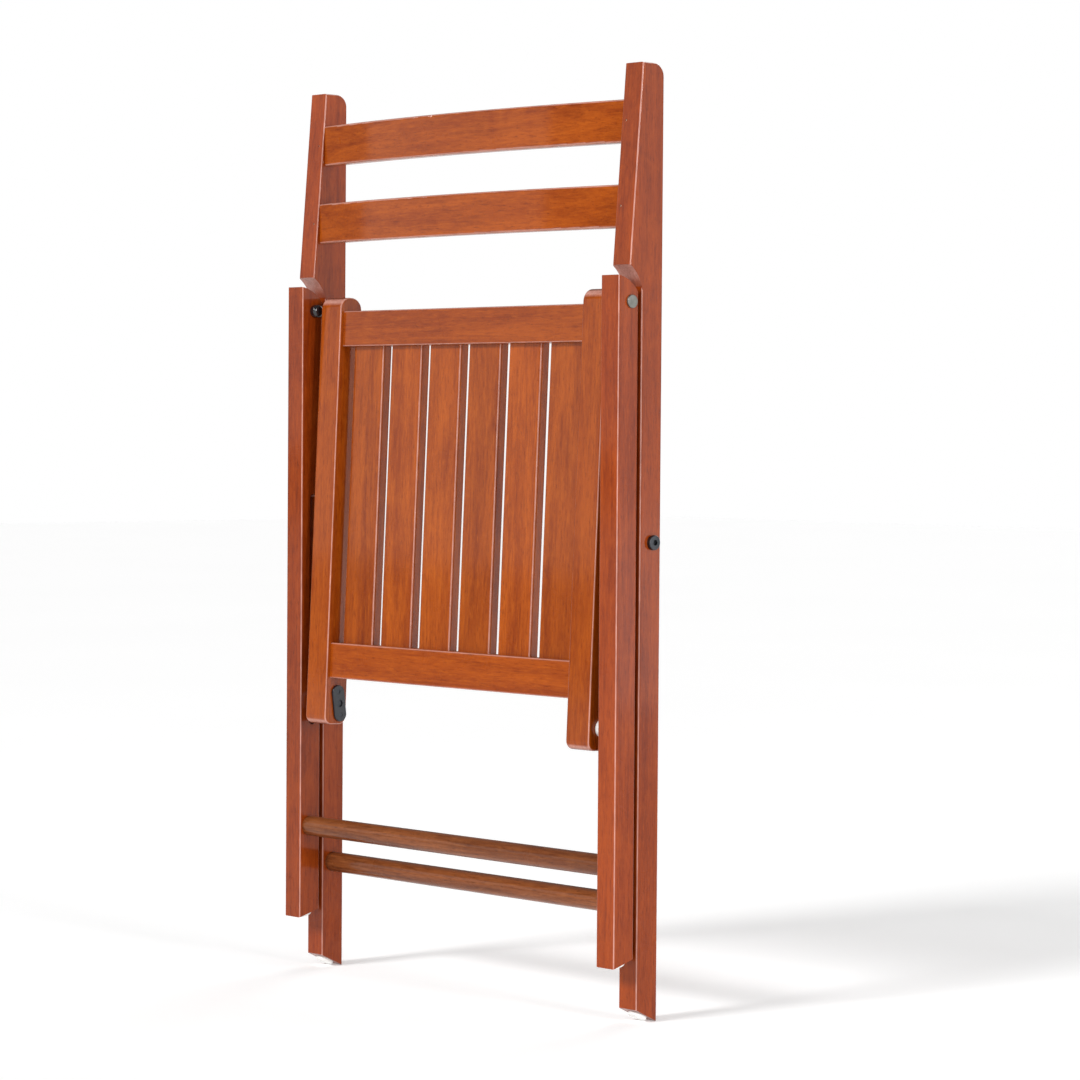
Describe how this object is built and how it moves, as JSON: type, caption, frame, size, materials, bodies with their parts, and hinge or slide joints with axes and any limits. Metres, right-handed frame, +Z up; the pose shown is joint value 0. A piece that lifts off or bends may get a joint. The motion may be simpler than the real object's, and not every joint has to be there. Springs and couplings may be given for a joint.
{
  "type": "folding chair",
  "caption": "Wooden slatted folding chair, stored folded flat: posts with a curved slat back, slatted seat and swinging rear legs.",
  "frame": {"origin": "bottom centre of the folded chair's box, on the floor line of the front feet", "axes": "+Z up along the posts, +Y towards the chair's front, +X to the sitter's right"},
  "size_m": [0.483, 0.0596, 0.89],
  "materials": {
    "frame_wood": "glossy lacquered reddish brown",
    "back_slat_wood": "glossy lacquered reddish brown",
    "seat_frame_wood": "glossy lacquered reddish brown",
    "seat_slat_wood": "glossy lacquered reddish brown",
    "rung_wood": "lacquered darker brown",
    "brad_steel": "plain",
    "hinge_steel": "plain",
    "bright_steel": "zinc plated",
    "dark_steel": "blackened",
    "black_nut": "gloss black",
    "black_plate": "gloss black",
    "white_plastic": "satin"
  },
  "bodies": {
    "back_frame": {"post_left": "frame_wood", "post_right": "frame_wood", "upper_back_slat": "back_slat_wood", "lower_back_slat": "back_slat_wood", "back_slat_brads": "brad_steel", "front_rung": "rung_wood", "post_glide_left": "white_plastic", "post_glide_right": "white_plastic", "hinge_blade_left": "hinge_steel", "hinge_blade_right": "hinge_steel", "seat_pivot_bolt_left": "dark_steel", "seat_pivot_bolt_right": "dark_steel", "seat_pivot_spacer_left": "dark_steel", "seat_pivot_spacer_right": "dark_steel", "seat_pivot_nut_left": "black_nut", "seat_pivot_nut_right": "black_nut"},
    "rear_leg_frame": {"rear_leg_left": "frame_wood", "rear_leg_right": "frame_wood", "rear_rung": "rung_wood", "rear_leg_glide_left": "white_plastic", "rear_leg_glide_right": "white_plastic", "hinge_bolt_left": "bright_steel", "hinge_bolt_right": "bright_steel", "hinge_nut_left": "black_nut", "hinge_nut_right": "black_nut"},
    "seat": {"seat_rail_left": "seat_frame_wood", "seat_rail_right": "seat_frame_wood", "seat_front_rail": "seat_frame_wood", "seat_rear_rail": "seat_frame_wood", "seat_slat_1": "seat_slat_wood", "seat_slat_2": "seat_slat_wood", "seat_slat_3": "seat_slat_wood", "seat_slat_4": "seat_slat_wood", "seat_slat_5": "seat_slat_wood", "seat_slat_6": "seat_slat_wood", "slide_pin_left": "dark_steel", "slide_pin_right": "dark_steel", "slide_disc_left": "white_plastic", "slide_disc_right": "white_plastic", "slide_plate_left": "black_plate", "slide_plate_right": "black_plate", "slide_plate_screws_left": "dark_steel", "slide_plate_screws_right": "dark_steel"}
  },
  "joints": [
    {"name": "seat_fold", "type": "hinge", "parent": "back_frame", "child": "seat", "pos_m": [0, 0.01855, 0.447], "axis": [-1, 0, 0], "range_deg": [0, 107.1]},
    {"name": "rear_leg_fold", "type": "hinge", "parent": "back_frame", "child": "rear_leg_frame", "pos_m": [0, -0.01135, 0.6694], "axis": [-1, 0, 0], "range_deg": [0, 41.38]}
  ],
  "couplings": [
    {"joint": "rear_leg_fold", "follows": "seat_fold", "ratio": 0.3863}
  ]
}
